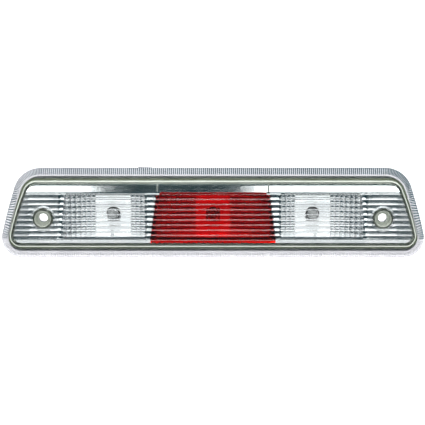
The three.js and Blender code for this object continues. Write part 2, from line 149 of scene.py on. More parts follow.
def rounded_ring(corners, radii, arc_steps, cuts):
    """The points round a polygon with rounded corners, and the straight runs divided evenly."""
    arcs = []
    for i, corner in enumerate(corners):
        here = Vector((corner[0], 0, corner[1]))
        ahead = corners[(i + 1) % len(corners)]
        to_before = (Vector((corners[i - 1][0], 0, corners[i - 1][1])) - here).normalized()
        to_after = (Vector((ahead[0], 0, ahead[1])) - here).normalized()
        half = to_before.angle(to_after) / 2
        centre = here + (to_before + to_after).normalized() * (radii[i] / math.sin(half))
        start = here + to_before * (radii[i] / math.tan(half))
        arcs.append(arc_points(start, centre, -(math.pi - 2 * half), arc_steps[i]))
    points = []
    for i, arc in enumerate(arcs):
        points += arc + run_points(arc[-1], arcs[(i + 1) % len(arcs)][0], cuts[i])
    return points


def lamp_ring(form, inset=0.0, fine=False):
    """The lamp's six-sided outline, moved inwards by inset.  The ribbed skirt needs the fine one."""
    height = form["half"] - inset
    top = form["mid"] - inset * math.hypot(1, form["upper"]) - form["upper"] * height
    foot = form["mid"] - inset * math.hypot(1, form["lower"]) + form["lower"] * height
    middle = form["mid"] - inset
    corners = [(foot, -height), (middle, 0), (top, height), (-top, height), (-middle, 0), (-foot, -height)]
    radii = [form["bottom"] - inset, form["side"], form["top"] - inset,
             form["top"] - inset, form["side"], form["bottom"] - inset]
    if fine:
        return rounded_ring(corners, radii, [33, 23, 43, 43, 23, 33], [5, 9, 343, 9, 5, 413])
    return rounded_ring(corners, radii, [16, 10, 20, 20, 10, 16], [2, 2, 15, 2, 2, 17])


def make_ring(bm, points, y):
    verts = [bm.verts.new((p.x, y, p.z)) for p in points]
    for i, v in enumerate(verts):
        bm.edges.new((v, verts[(i + 1) % len(verts)]))
    return verts


def ring_edges(bm, ring):
    return [bm.edges.get((v, ring[(i + 1) % len(ring)])) for i, v in enumerate(ring)]


def lip(bm, ring, points, y):
    """Draws a wall out of a ring to the next ring."""
    places = {v.co.to_tuple(4): i for i, v in enumerate(ring)}
    made = bmesh.ops.extrude_edge_only(bm, edges=ring_edges(bm, ring))["geom"]
    new = [None] * len(ring)
    for v in made:
        if isinstance(v, bmesh.types.BMVert):
            new[places[v.co.to_tuple(4)]] = v
    for v, p in zip(new, points):
        v.co = (p.x, y, p.z)
    return new


def circle_points(x, z, radius, steps=48):
    bm = bmesh.new()
    lie = Matrix.Translation((x, 0, z)) @ Matrix.Rotation(math.pi / 2, 4, "X")
    made = bmesh.ops.create_circle(bm, cap_ends=False, radius=radius, segments=steps, matrix=lie)
    points = [v.co.copy() for v in made["verts"]]
    bm.free()
    return points


def fill_between(bm, *rings):
    """A flat sheet inside the first ring, with the others left open."""
    edges = [e for ring in rings for e in ring_edges(bm, ring)]
    made = bmesh.ops.triangle_fill(bm, edges=edges, use_beauty=True, use_dissolve=False, normal=(0, -1, 0))
    return [f for f in made["geom"] if isinstance(f, bmesh.types.BMFace)]


def slice_sheet(bm, faces, heights, normal=(0, 0, 1)):
    """Cuts a sheet along parallel lines, and returns its faces."""
    axis = Vector(normal)
    for height in heights:
        near = [f for f in faces if f.is_valid]
        geom = near + once(e for f in near for e in f.edges) + once(v for f in near for v in f.verts)
        cut = bmesh.ops.bisect_plane(bm, geom=geom, dist=1e-4, plane_co=axis * height, plane_no=axis)
        faces = [g for g in cut["geom"] if isinstance(g, bmesh.types.BMFace) and g.is_valid]
    return faces


def scallop(along, start, pitch, count):
    """0 on the ridge between two flutes and 1 in the middle of a flute."""
    place = (along - start) / pitch
    if place <= 0 or place >= count:
        return 0.0
    part = place - math.floor(place)
    return 4 * part * (1 - part)


def flat_flute(along, pitch, count):
    """0 on the ridge between two flutes, and 1 over a flute's nearly flat middle."""
    place = along / pitch
    if place <= 0 or place >= count:
        return 0.0
    return 1 - abs(2 * (place - math.floor(place)) - 1) ** 9


# ---- Finishing ------------------------------------------------------------------------------------
def put_in_order(bm):
    """Numbers the points and faces by their places, which the operators number differently each run."""
    rank = {v: i for i, v in enumerate(sorted(bm.verts, key=lambda v: v.co.to_tuple(5)))}
    bm.verts.sort(key=lambda v: rank[v])
    bm.verts.index_update()
    rank = {f: i for i, f in enumerate(sorted(bm.faces, key=lambda f: sorted(v.index for v in f.verts)))}
    bm.faces.sort(key=lambda f: rank[f])


def finish(name, bm, material, nodes=(), body="lamp", crease=32, crisp_at=None, hollow=()):
    """Makes a piece.  The flat face at depth crisp_at keeps a crisp edge, and hollow lists the faces that
    line a hollow."""
    bmesh.ops.remove_doubles(bm, verts=bm.verts, dist=1e-3)
    bmesh.ops.recalc_face_normals(bm, faces=bm.faces)
    bmesh.ops.reverse_faces(bm, faces=list(hollow))
    put_in_order(bm)
    bmesh.ops.scale(bm, vec=(MM, MM, MM), verts=bm.verts)
    mesh = bpy.data.meshes.new(name)
    bm.to_mesh(mesh)
    bm.free()
    mesh.materials.append(material)
    mesh.set_sharp_from_angle(angle=math.radians(crease))
    if crisp_at is not None:
        level = [abs(v.co.y / MM - crisp_at) < 1e-3 for v in mesh.vertices]
        for edge in mesh.edges:
            if level[edge.vertices[0]] and level[edge.vertices[1]]:
                edge.use_edge_sharp = True
    piece = bpy.data.objects.new(name, mesh)
    scene.collection.objects.link(piece)
    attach(piece, body)
    if nodes:
        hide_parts(*nodes)
    return piece


# ---- Finishes -------------------------------------------------------------------------------------
def finish_material(name, color, second, roughness, metallic=0.0, grain=900.0, bump=0.05, spread=0.06,
                    depth=0.0002, **sockets):
    """A moulded or plated finish: two close shades, uneven gloss and a fine grain, all in the solid."""
    material = bpy.data.materials.new(name)
    material.use_nodes = True
    nodes, links = material.node_tree.nodes, material.node_tree.links
    shader = nodes["Principled BSDF"]
    place = nodes.new("ShaderNodeTexCoord")
    cloud = nodes.new("ShaderNodeTexNoise")
    cloud.inputs["Scale"].default_value = 60
    cloud.inputs["Detail"].default_value = 4
    links.new(place.outputs["Object"], cloud.inputs["Vector"])
    shades = nodes.new("ShaderNodeValToRGB")
    shades.color_ramp.elements[0].position = 0.35
    shades.color_ramp.elements[0].color = (*color, 1)
    shades.color_ramp.elements[1].position = 0.65
    shades.color_ramp.elements[1].color = (*second, 1)
    links.new(cloud.outputs["Fac"], shades.inputs["Fac"])
    links.new(shades.outputs["Color"], shader.inputs["Base Color"])
    fine = nodes.new("ShaderNodeTexNoise")
    fine.inputs["Scale"].default_value = grain
    fine.inputs["Detail"].default_value = 3
    links.new(place.outputs["Object"], fine.inputs["Vector"])
    relief = nodes.new("ShaderNodeBump")
    relief.inputs["Strength"].default_value = bump
    relief.inputs["Distance"].default_value = depth
    links.new(fine.outputs["Fac"], relief.inputs["Height"])
    links.new(relief.outputs["Normal"], shader.inputs["Normal"])
    if spread:
        gloss = nodes.new("ShaderNodeMapRange")
        gloss.inputs["To Min"].default_value = max(0.02, roughness - spread)
        gloss.inputs["To Max"].default_value = roughness + spread
        links.new(cloud.outputs["Fac"], gloss.inputs["Value"])
        links.new(gloss.outputs["Result"], shader.inputs["Roughness"])
    else:
        shader.inputs["Roughness"].default_value = roughness
    shader.inputs["Metallic"].default_value = metallic
    for socket, value in sockets.items():
        shader.inputs[socket.replace("_", " ")].default_value = value
    return material


# The lens's edges and walls carry painted shade, its skirt painted light and every other rib flank painted
# shade. These and the bulbs are half-frosted and tinted to look right from the front. The plastic and glass
# they stand for are clear.
CLEAR = finish_material("clear_polycarbonate", (0.93, 0.955, 0.95), (0.955, 0.97, 0.965), 0.02, grain=420,
                        bump=0.006, spread=0, Transmission_Weight=1.0, IOR=1.5)
# Painted dark edge-on shade: the dark olive stands for the groove and the well mouths seen edge-on.
PAINTED_EDGE_SHADE = finish_material("polycarbonate_edge_painted_shade", (0.20, 0.235, 0.165), (0.25, 0.285, 0.21), 0.15,
                             grain=300, bump=0.05, spread=0, Transmission_Weight=0.5, IOR=1.5)
# Painted shade on the raised face's walls and in the wells.
PAINTED_WALL_SHADE = finish_material("polycarbonate_wall_painted_shade", (0.50, 0.545, 0.475), (0.56, 0.60, 0.535), 0.15,
                             grain=300, bump=0.03, spread=0, Transmission_Weight=0.5, IOR=1.5)
# Painted light: the pale tint stands for the lit side of the skirt's ribs.
PAINTED_SKIRT_LIGHT = finish_material("serrated_skirt_painted_light", (0.58, 0.575, 0.61), (0.64, 0.635, 0.665), 0.15, grain=300,
                        bump=0.02, spread=0, Transmission_Weight=0.5, IOR=1.5)
# Painted shade: the dark teal stands for the shaded flank of every other rib.
PAINTED_FLANK_SHADE = finish_material("serration_shade", (0.03, 0.07, 0.085), (0.05, 0.10, 0.12), 0.15, grain=300,
                        bump=0.02, spread=0, Transmission_Weight=0.5, IOR=1.5)
RED = finish_material("red_polycarbonate", (0.84, 0.014, 0.003), (0.74, 0.008, 0.002), 0.03, grain=420,
                      bump=0.008, spread=0, Transmission_Weight=1.0, IOR=1.5)
CHROME = finish_material("vacuum_chrome", (0.74, 0.755, 0.77), (0.80, 0.81, 0.82), 0.06, metallic=1.0,
                         grain=500, bump=0.01, spread=0.03)
SATIN = finish_material("satin_chrome", (0.74, 0.755, 0.77), (0.80, 0.81, 0.82), 0.22, metallic=1.0,
                        grain=500, bump=0.01, spread=0.03)
GREY = finish_material("light_grey_nylon", (0.27, 0.275, 0.285), (0.295, 0.30, 0.31), 0.46, grain=2600,
                       bump=0.35)
NYLON = finish_material("natural_nylon", (0.44, 0.43, 0.385), (0.48, 0.47, 0.425), 0.48, grain=2400,
                        bump=0.3)
FOAM = finish_material("closed_cell_foam", (0.07, 0.073, 0.08), (0.095, 0.098, 0.105), 0.92, grain=1500,
                       bump=0.9, depth=0.0006)
RUBBER = finish_material("grey_silicone", (0.10, 0.105, 0.11), (0.13, 0.135, 0.14), 0.7, grain=1800,
                         bump=0.3)
BULB = finish_material("frosted_bulb_glass", (0.90, 0.905, 0.91), (0.94, 0.94, 0.945), 0.15, grain=90,
                       bump=0.05, spread=0, Transmission_Weight=0.5, IOR=1.48)
TUNGSTEN = finish_material("tungsten_wire", (0.34, 0.34, 0.35), (0.44, 0.44, 0.45), 0.34, metallic=1.0,
                           grain=4000, bump=0.2)
BRASS = finish_material("rolled_brass", (0.62, 0.45, 0.17), (0.70, 0.52, 0.22), 0.3, metallic=1.0,
                        grain=2200, bump=0.15)


# ---- Lens -----------------------------------------------------------------------------------------
# Lens material slots: 1 painted edge shade, 2 painted wall shade, 3 the skirt's painted light, 4 the rib
# flanks' painted shade.
EDGE_SHADE_SLOT = 1
WALL_SHADE_SLOT = 2
SKIRT_LIGHT_SLOT = 3
FLANK_SHADE_SLOT = 4


def rib_places(across, depth):
    """The skirt's outline with every other point sunk inwards, which makes its fine ribs."""
    crests = lamp_ring(RIM, across, True)
    valleys = lamp_ring(RIM, across + depth, True)
    return [pair[i % 2] for i, pair in enumerate(zip(crests, valleys))]


def painted_shade_slot(at):
    """Which finish a face of the lens takes: the painted dark edge-on shade in the groove and at the mouths
    of the screw wells, the painted wall shade on the raised face's wall and in the wells, and the clear one
    elsewhere."""
    from_well = min(math.hypot(at.x - well.x, at.z - well.z) for well in WELL.values())
    if 5.2 < from_well < 7.3 or (from_well < 10 and GROOVE_BOTTOM + 0.05 < at.y < LEG_BACK - 0.5):
        return WALL_SHADE_SLOT if FACE_FRONT + 0.6 < at.y else EDGE_SHADE_SLOT * int(at.y > FACE_FRONT + 0.02)
    if RIM_CREST + 0.05 < at.y < GROOVE_BOTTOM + 0.02:
        return EDGE_SHADE_SLOT
    return WALL_SHADE_SLOT * int(FACE_FRONT + 0.02 < at.y < RIM_CREST - 0.05 and abs(at.y - FACE_BACK) > 0.02)


def clear_lens():
    bm = bmesh.new()
    foot = PLATE_BACK - 1.1
    first = make_ring(bm, rib_places(0, RIB_DEPTH), PLATE_BACK)
    crest = lip(bm, first, rib_places(0, RIB_DEPTH), foot)
    crests = [crest]
    for i in range(1, 10):
        turn = math.pi / 2 * i / 9
        across = RIM_ROUND * (1 - math.cos(turn))
        rib = RIB_DEPTH * min(1.0, max(0.0, (RIM_ROUND - across) / 2.5))
        crest = lip(bm, crest, rib_places(across, rib * math.cos(turn)), foot - RIM_DEEP * math.sin(turn))
        for v in crest[1::2]:
            v.co.y += rib * math.sin(turn)
        crests.append(crest)
    # The skirt's faces take its painted light.
    finish_of = {face: SKIRT_LIGHT_SLOT for face in bm.faces}
    # Every other rib flank, on all but the last two rings, takes painted shade.
    for ring in crests[:-2]:
        for edge in ring_edges(bm, ring)[::2]:
            finish_of.update({face: FLANK_SHADE_SLOT for face in edge.link_faces})
    inner = make_ring(bm, lamp_ring(FACE, -GROOVE_WIDTH - 0.25), RIM_CREST)
    fill_between(bm, crest, inner)
    ring = inner
    for outset, y in ((GROOVE_WIDTH, RIM_CREST + 0.25), (GROOVE_WIDTH, GROOVE_BOTTOM), (0, GROOVE_BOTTOM),
                      (0, FACE_FRONT + 1.2)):
        ring = lip(bm, ring, lamp_ring(FACE, -outset), y)
    for i in range(1, 5):
        turn = math.pi / 2 * i / 4
        across, deep = 1.2 * (1 - math.cos(turn)), 1.2 * (1 - math.sin(turn))
        ring = lip(bm, ring, lamp_ring(FACE, across), FACE_FRONT + deep)
    front = ring

    back = make_ring(bm, lamp_ring(FACE, 2.6), FACE_BACK)
    before = set(bm.faces)
    ring = lip(bm, back, lamp_ring(FACE, 2.6), LEG_BACK)
    ring = lip(bm, ring, lamp_ring(FACE, -GROOVE_WIDTH), LEG_BACK)
    # The leg wall behind the raised face takes the painted wall shade.
    finish_of.update({face: WALL_SHADE_SLOT for face in set(bm.faces) - before})
    for form, inset, y in ((FACE, -GROOVE_WIDTH, -8.2), (RIM, 6.4, -8.4), (RIM, 4.4, -8.0),
                           (RIM, 3.1, -7.0), (RIM, 2.6, -5.6), (RIM, 2.6, PLATE_BACK)):
        ring = lip(bm, ring, lamp_ring(form, inset), y)
    fill_between(bm, first, ring)

    mouths, feet = [], []
    for at in WELL.values():
        circle = lambda radius: circle_points(at.x, at.z, radius)
        ring = make_ring(bm, circle(7.5), FACE_FRONT)
        mouths.append(ring)
        for radius, y in ((7.15, FACE_FRONT + 0.15), (7.0, FACE_FRONT + 0.5), (7.0, -9.5), (6.8, -9.3),
                          (4.2, -9.3), (4.0, -9.1), (4.0, LEG_BACK), (9.0, LEG_BACK), (9.0, FACE_BACK)):
            ring = lip(bm, ring, circle(radius), y)
        feet.append(ring)
    fill_between(bm, front, *mouths)
    inside = fill_between(bm, back, *feet)
    # Faces not listed take painted edge or wall shade by where they lie, or else the clear finish.
    for face in bm.faces:
        at = face.calc_center_median()
        face.material_index = finish_of.get(face, painted_shade_slot(at))
        # The inner rib flanks along the bottom face the light from below, so they keep the skirt's painted
        # light instead of painted shade.
        if face.material_index == FLANK_SHADE_SLOT and at.z < -24 and at.y < foot - 1.2:
            face.material_index = SKIRT_LIGHT_SLOT
    stops = (0, 0.04, 0.09, 0.15, 0.25, 0.5, 0.75, 0.85, 0.91, 0.96)
    cuts = [FLUTE_TOP - FLUTE_PITCH * (i + stop) for i in range(FLUTE_COUNT) for stop in stops]
    cuts.append(FLUTE_TOP - FLUTE_PITCH * FLUTE_COUNT)
    inside = slice_sheet(bm, inside, cuts)
    for v in once(v for f in inside for v in f.verts):
        v.co.y -= FLUTE_DEPTH * flat_flute(FLUTE_TOP - v.co.z, FLUTE_PITCH, FLUTE_COUNT)
    piece = finish("clear_lens", bm, CLEAR, ["outer_lens"], crisp_at=FACE_FRONT)
    piece.data.materials.append(PAINTED_EDGE_SHADE)
    piece.data.materials.append(PAINTED_WALL_SHADE)
    piece.data.materials.append(PAINTED_SKIRT_LIGHT)
    piece.data.materials.append(PAINTED_FLANK_SHADE)
    return piece


# ---- Chromed bezel --------------------------------------------------------------------------------
# The slanted outer edge of a cargo window: the way across it, and its distance from the middle that way.
FRAME_SLANT = (0.9948, 0.102)
FRAME_REACH = 137.19
# The same for the red filter's slanted edge.
STRIP_SLANT = (0.9915, 0.1303)
STRIP_REACH = 54.04


def window_ring(left_top, right_top, left_foot, right_foot):
    corners = [(right_foot, WINDOW_BOTTOM), (right_top, WINDOW_TOP),
               (left_top, WINDOW_TOP), (left_foot, WINDOW_BOTTOM)]
    return rounded_ring(corners, [1.6] * 4, [6] * 4, [0] * 4)


def chrome_bezel():
    bm = bmesh.new()
    outline = lambda inset: lamp_ring(FACE, 2.9 + inset, fine=False)
    front = make_ring(bm, outline(0.5), BEZEL_FRONT)
    ring = lip(bm, front, outline(0), BEZEL_FRONT + 0.5)
    for inset, y in ((0, LEG_BACK), (1.5, LEG_BACK), (1.5, BEZEL_BACK)):
        ring = lip(bm, ring, outline(inset), y)
    back = ring
    fronts, backs = [front], [back]
    windows = [(-49, 49, -53.8, 53.8), (61.7, 136, 61.7, 140.4), (-136, -61.7, -140.4, -61.7)]
    for left_top, right_top, left_foot, right_foot in windows:
        lip_width = 1.0 if left_top * right_top > 0 else 0.5
        grown = window_ring(left_top - lip_width, right_top + lip_width,
                            left_foot - lip_width, right_foot + lip_width)
        ring = make_ring(bm, grown, BEZEL_FRONT)
        fronts.append(ring)
        exact = window_ring(left_top, right_top, left_foot, right_foot)
        if left_top * right_top > 0:
            half = window_ring(left_top - 0.25, right_top + 0.25, left_foot - 0.25, right_foot + 0.25)
            ring = lip(bm, ring, grown, BEZEL_FRONT - 0.8)
            ring = lip(bm, ring, half, BEZEL_FRONT - 1.1)
        ring = lip(bm, ring, exact, BEZEL_FRONT + 0.5 - 1.4 * (left_top * right_top > 0))
        backs.append(lip(bm, ring, exact, BEZEL_BACK))
    for at in WELL.values():
        circle = lambda radius: circle_points(at.x, at.z, radius)
        ring = make_ring(bm, circle(BOSS_RADIUS), BEZEL_FRONT)
        fronts.append(ring)
        for radius, y in ((BOSS_RADIUS, -12.0), (10.9, -12.3), (10.4, -12.4), (9.7, -12.4), (9.4, -12.3),
                          (9.3, -12.0), (9.3, LEG_BACK), (BOSS_RADIUS, LEG_BACK),
                          (BOSS_RADIUS, BEZEL_BACK)):
            ring = lip(bm, ring, circle(radius), y)
        backs.append(ring)
    sheet = fill_between(bm, *fronts)
    fill_between(bm, *backs)
    bars = [WINDOW_BOTTOM + FLUTE_PITCH * i for i in range(FLUTE_COUNT + 1)]
    heights = [z + step for z in bars for step in (-0.7, -0.35, 0, 1.4, 2.8)]
    heights += [FOOT_ROUND, BAND_FOOT, 20.2, 21.6, 23, 24.4, 25.8, BAND_TOP]
    sheet = slice_sheet(bm, sheet, heights)
    for side in (-1, 1):
        sheet = slice_sheet(bm, sheet, [FRAME_REACH + step for step in (0.6, 1.0, 3.6, 4.0)],
                            (side * FRAME_SLANT[0], 0, FRAME_SLANT[1]))
        sheet = slice_sheet(bm, sheet, [STRIP_REACH + step for step in (0.4, 0.9)],
                            (side * STRIP_SLANT[0], 0, STRIP_SLANT[1]))
    places = (50.4, BAND_JOINT, 52, 60.8, 61.2, PANEL_START, 143.4, 169.5, PANEL_END)
    sheet = slice_sheet(bm, sheet, [side * x for x in places for side in (-1, 1)], (1, 0, 0))
    for v in once(v for f in sheet for v in f.verts):
        across, up = abs(v.co.x), v.co.z
        in_panel = min(1.0, max(0.0, across - PANEL_START)) * min(1.0, max(0.0, (PANEL_END - across) / 1.5))
        away = min((Vector((v.co.x, 0, up)) - Vector((at.x, 0, at.z))).length for at in WELL.values())
        if away > BOSS_RADIUS + 0.05 and WINDOW_BOTTOM < up < WINDOW_BOTTOM + FLUTE_PITCH * FLUTE_COUNT:
            part = ((up - WINDOW_BOTTOM) % FLUTE_PITCH) / FLUTE_PITCH
            tooth = min(part / 0.86, (1 - part) / 0.14, 1.0)
            beside = across * FRAME_SLANT[0] + up * FRAME_SLANT[1] - FRAME_REACH
            in_frame = max(0.0, min(1.0, (beside - 0.6) / 0.4, (4.0 - beside) / 0.4))
            aside = across * STRIP_SLANT[0] + up * STRIP_SLANT[1] - STRIP_REACH
            in_strip = max(0.0, min(1.0, (aside - 0.4) / 0.5, (61.2 - across) / 0.4))
            v.co.y -= (0.25 * in_panel + 0.42 * in_frame + 0.42 * in_strip) * tooth
        if up > BAND_FOOT:
            v.co.y -= 2.0 * max(0.0, min((up - BAND_FOOT) / 0.3, 1.0, (BAND_TOP - up) / 0.5))
        if 20.2 < up < BAND_TOP:
            v.co.y += 2.6 * (min(up, 25.8) - 20.2) / 5.6 * min(1.0, (BAND_TOP - up) / 0.5)
            v.co.y -= 0.7 * max(0.0, 1 - abs(across - BAND_JOINT) / 0.8)
        if up < FOOT_ROUND:
            v.co.y += min(0.9, 0.32 * (up - FOOT_ROUND + 3.2)) - 0.9
    for face in bm.faces:
        at = face.calc_center_median()
        face.material_index = int(abs(at.x) > PANEL_START and at.z < BAND_FOOT and at.y < BEZEL_FRONT + 0.2)
    piece = finish("chrome_bezel", bm, CHROME, ["reflector_bezel"], crease=14)
    piece.data.materials.append(SATIN)
    return piece


# ---- Red filter -----------------------------------------------------------------------------------
def red_filter():
    bm = bmesh.new()
    top, foot, chamfer = 51.9, 58.1, 4
    low, high = FILTER_LOW.z, FILTER_HIGH.z
    shoulder = top + (foot - top) * chamfer / (high - low)

    def outline(inset):
        right = [(foot - inset, low + inset), (shoulder - inset, high - chamfer),
                 (top - chamfer, high - inset)]
        corners = right + [(-x, z) for x, z in reversed(right)]
        return rounded_ring(corners, [1.4] * 6, [5] * 6, [0] * 6)

    front = make_ring(bm, outline(0.5), FILTER_LOW.y)
    ring = lip(bm, front, outline(0), FILTER_LOW.y + 0.5)
    back = lip(bm, ring, outline(0), -11.2)
    fill_between(bm, front)
    inside = fill_between(bm, back)
    pitch = 4.46
    count = 24
    start = -pitch * count / 2
    inside = slice_sheet(bm, inside, [start + pitch * i / 6 for i in range(count * 6 + 1)], (1, 0, 0))
    for v in once(v for f in inside for v in f.verts):
        v.co.y -= 0.34 * scallop(v.co.x, start, pitch, count)
    return finish("red_filter", bm, RED, ["brake_filter"])


# ---- Reflector bowls ------------------------------------------------------------------------------
def carve(piece, bm):
    """Cuts the closed shape in bm out of a finished piece."""
    bmesh.ops.scale(bm, vec=(MM, MM, MM), verts=bm.verts)
    mesh = bpy.data.meshes.new("cutter")
    bm.to_mesh(mesh)
    bm.free()
    cutter = bpy.data.objects.new("cutter", mesh)
    scene.collection.objects.link(cutter)
    hole = piece.modifiers.new("hole", "BOOLEAN")
    hole.operation = "DIFFERENCE"
    hole.solver = "EXACT"
    hole.object = cutter
    carved = bpy.data.meshes.new_from_object(piece.evaluated_get(bpy.context.evaluated_depsgraph_get()))
    piece.modifiers.clear()
    plain, piece.data = piece.data, carved
    carved.name = piece.name
    bpy.data.meshes.remove(plain)
    bpy.data.objects.remove(cutter)
    bpy.data.meshes.remove(mesh)


def drill(piece, at, radius, front, back):
    """A round hole along Y, cut through a finished piece."""
    bm = bmesh.new()
    lie = Matrix.Translation((at.x, (front + back) / 2, at.z)) @ Matrix.Rotation(math.pi / 2, 4, "X")
    bmesh.ops.create_cone(bm, cap_ends=True, segments=48, radius1=radius, radius2=radius,
                          depth=back - front, matrix=lie)
    carve(piece, bm)


def reflector_bowl(name, node, at, left, right, middle, pillow, lean, side_lean):
    """A trough that is a parabola in plan, with rows of facets that lean back, plain in the middle."""
    bm = bmesh.new()
    wall = 1.6
    reach = max(-left, right)
    half = 22.7 - wall
    rows = 9
    row = 2 * half / rows
    line = bm.edges.new((bm.verts.new((left + wall, 0, -half)), bm.verts.new((right - wall, 0, -half))))
    bmesh.ops.subdivide_edges(bm, edges=[line], cuts=180)
    shape_line = list(bm.edges)
    made = bmesh.ops.extrude_edge_only(bm, edges=shape_line)["geom"]
    raised = [v for v in made if isinstance(v, bmesh.types.BMVert)]
    bmesh.ops.translate(bm, verts=raised, vec=(0, 0, 2 * half))
    heights = [-half + row * (i + part) for i in range(rows) for part in (0.25, 0.5, 0.75, 0.92, 1.0)]
    slice_sheet(bm, list(bm.faces), heights[:-1])
    for v in bm.verts:
        x = v.co.x
        part = ((v.co.z + half) / row) % 1.0
        tooth = min(part / 0.92, (1 - part) / 0.08)
        beside = 0.0 if abs(x) < middle else 1.0
        v.co.y = BOWL_APEX + (BOWL_FRONT + 1 - BOWL_APEX) * (x / reach) ** 2
        v.co.y -= beside * pillow * scallop(abs(x) - middle, 0, 4.5, 20) * (0.6 + 1.6 * part * (1 - part))
        tilt = side_lean if beside else lean - 5 * (v.co.z > half - 2 * row - 0.01)
        v.co.y -= row * math.tan(math.radians(tilt)) * (1 - tooth)
    edge = [e for e in bm.edges if len(e.link_faces) == 1]
    made = bmesh.ops.extrude_edge_only(bm, edges=edge)["geom"]
    for v in made:
        if isinstance(v, bmesh.types.BMVert):
            v.co.y = BOWL_FRONT
    bmesh.ops.remove_doubles(bm, verts=bm.verts, dist=1e-4)
    bmesh.ops.recalc_face_normals(bm, faces=bm.faces)
    bmesh.ops.solidify(bm, geom=list(bm.faces), thickness=wall)
    bmesh.ops.translate(bm, verts=bm.verts, vec=(at.x, 0, at.z))
    piece = finish(name, bm, CHROME, [node], crease=25)
    drill(piece, at, BULB_HOLE, 0, 30)
    return piece


# ---- Bulbs ----------------------------------------------------------------------------------------
def spun(bm, profile):
    """Turns a line of (radius, y) round the lamp's axis."""
    verts = [bm.verts.new((radius, y, 0)) for radius, y in profile]
    edges = [bm.edges.new(pair) for pair in zip(verts, verts[1:])]
    bmesh.ops.spin(bm, geom=verts + edges, cent=(0, 0, 0), axis=(0, 1, 0), angle=2 * math.pi,
                   steps=48, use_merge=True, use_duplicate=False)
    bmesh.ops.remove_doubles(bm, verts=bm.verts, dist=1e-4)


def bulb_glass(lamp, at):
    bm = bmesh.new()

    def skin(inward):
        radius = BULB_RADIUS - inward
        line = [(0, BULB_TIP + inward)]
        for i in range(1, 13):
            turn = math.pi / 2 * i / 12
            line.append((radius * math.sin(turn), BULB_TIP + BULB_RADIUS - radius * math.cos(turn)))
        return line + [(radius, 12.5), (radius - 0.3, 14.5), (4.2 - inward, 16 - inward),
                       (0, 16.8 - inward)]

    spun(bm, skin(0))
    inner = bmesh.new()
    spun(inner, skin(BULB_WALL))
    lining = bpy.data.meshes.new("lining")
    inner.to_mesh(lining)
    inner.free()
    outside = len(bm.faces)
    bm.from_mesh(lining)
    bpy.data.meshes.remove(lining)
    bmesh.ops.translate(bm, verts=bm.verts, vec=(at.x, 0, at.z))
    return finish(lamp + "_bulb", bm, BULB, [lamp + "_bulb_glass"],
                  lamp + "_socket_assembly", hollow=list(bm.faces)[outside:])


# ---- Housing --------------------------------------------------------------------------------------
def bar(bm, size, place, round_off, turn=0.0):
    """A bar with rounded edges, turned about Y."""
    lie = Matrix.Rotation(turn, 4, "Y") @ Matrix.Translation(place) @ Matrix.Diagonal((*size, 1))
    made = bmesh.ops.create_cube(bm, size=1, matrix=lie)["verts"]
    edges = once(e for v in made for e in v.link_edges)
    bmesh.ops.bevel(bm, geom=edges, offset=round_off, segments=2, profile=0.5, affect="EDGES",
                    material=-1)


def tray_ring(grow):
    right, low, high = TRAY["half"] + grow, TRAY["low"] - grow, TRAY["high"] + grow
    corners = [(right, low), (right, high), (-right, high), (-right, low)]
    return rounded_ring(corners, [3 + grow] * 4, [8] * 4, [0] * 4)


def key_hole(at):
    """The socket hole, with three notches for the lugs, 45 degrees on from where they lock."""
    points = circle_points(at.x, at.z, SOCKET_HOLE, 120)
    for p in points:
        across, up = p.x - at.x, p.z - at.z
        for i in range(3):
            way = math.radians(45 + 120 * i)
            along = across * math.sin(way) + up * math.cos(way)
            beside = abs(across * math.cos(way) - up * math.sin(way))
            if along > 0 and beside < KEY_WIDTH / 2:
                p.x, p.z = at.x + across * KEY_REACH / SOCKET_HOLE, at.z + up * KEY_REACH / SOCKET_HOLE
    return points


def chain(bm, ring, shape, stations):
    """Draws one ring through a list of (size, depth)."""
    for size, y in stations:
        ring = lip(bm, ring, shape(size), y)
    return ring


